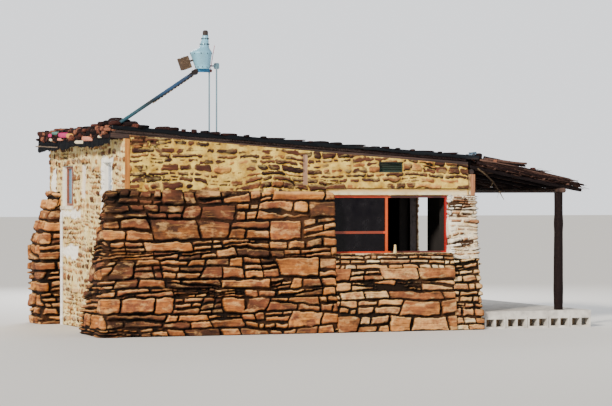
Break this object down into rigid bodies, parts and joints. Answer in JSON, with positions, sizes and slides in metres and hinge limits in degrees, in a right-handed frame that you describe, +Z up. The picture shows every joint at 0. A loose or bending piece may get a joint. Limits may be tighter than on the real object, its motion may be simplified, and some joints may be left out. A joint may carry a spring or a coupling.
{
  "type": "one-room stone cottage with a lean-to verandah",
  "caption": "Low stone cottage with a mono-pitch sheet roof, a wide front window, small end windows, a brush-roofed verandah over an open doorway and a mast on the roof.",
  "frame": {"origin": "middle of the house's footprint, on the ground", "axes": "+X along the front wall towards the verandah, +Y from the front wall to the rear wall, +Z up"},
  "size_m": [8.6377, 5.11, 4.9032],
  "materials": {
    "lower_stone": "rough",
    "upper_stone": "rough",
    "pier_stone": "rough",
    "concrete": "matt",
    "rubble": "rough",
    "orange_timber": "weathered",
    "dark_timber": "weathered",
    "grey_timber": "weathered",
    "painted_timber": "flaking paint",
    "brush": "rough",
    "sheet_iron": "weathered",
    "window_steel": "gloss",
    "side_steel": "worn",
    "vent_steel": "matt",
    "glass": "clear",
    "pipe_plastic": "matt",
    "mast_steel": "gloss",
    "hood_zinc": "satin",
    "box_steel": "rusty",
    "cap_rubber": "matt"
  },
  "bodies": {
    "root": {"front_wall_left": "lower_stone", "front_wall_under_window": "lower_stone", "front_wall_pier": "pier_stone", "front_wall_upper": "upper_stone", "window_lintel": "upper_stone", "corner_plank": "orange_timber", "joint_post": "orange_timber", "corner_post": "orange_timber", "rear_wall": "upper_stone", "left_wall": "upper_stone", "right_wall_front": "upper_stone", "right_wall_over_door": "upper_stone", "right_wall_rear": "upper_stone", "front_buttress": "lower_stone", "rear_buttress": "lower_stone", "floor_fill": "rubble", "floor_slab": "concrete", "threshold": "concrete", "verandah_blocks": "concrete", "verandah_fill": "rubble", "verandah_floor": "concrete", "front_window_frame": "window_steel", "front_window_glass": "glass", "vent_louvre": "vent_steel", "near_window_frame": "painted_timber", "near_window_glass": "glass", "far_window_frame": "painted_timber", "far_window_glass": "glass", "slot_shutter": "orange_timber", "far_window_sill": "upper_stone", "rear_window_frame": "painted_timber", "rear_window_glass": "glass", "door_frame": "dark_timber", "side_window_frame": "side_steel", "wall_plates": "dark_timber", "roof_poles": "dark_timber", "eave_poles": "grey_timber", "roof_sheets_under": "sheet_iron", "roof_sheets_over": "sheet_iron", "edge_flashing": "sheet_iron", "front_edge_strip": "sheet_iron", "rear_edge_strip": "sheet_iron", "roof_stones": "lower_stone", "verandah_ledger": "dark_timber", "verandah_beam": "dark_timber", "verandah_post_front": "dark_timber", "verandah_post_rear": "dark_timber", "verandah_rafters": "dark_timber", "verandah_brush": "brush", "hanging_branch": "grey_timber", "waste_pipe": "pipe_plastic", "mast_feet": "mast_steel", "mast_pole": "mast_steel", "mast_conduit": "mast_steel", "mast_bracket": "mast_steel", "mast_rods": "mast_steel", "mast_hood": "hood_zinc", "mast_cap": "cap_rubber", "mast_box": "box_steel", "mast_whip": "box_steel"}
  },
  "joints": []
}
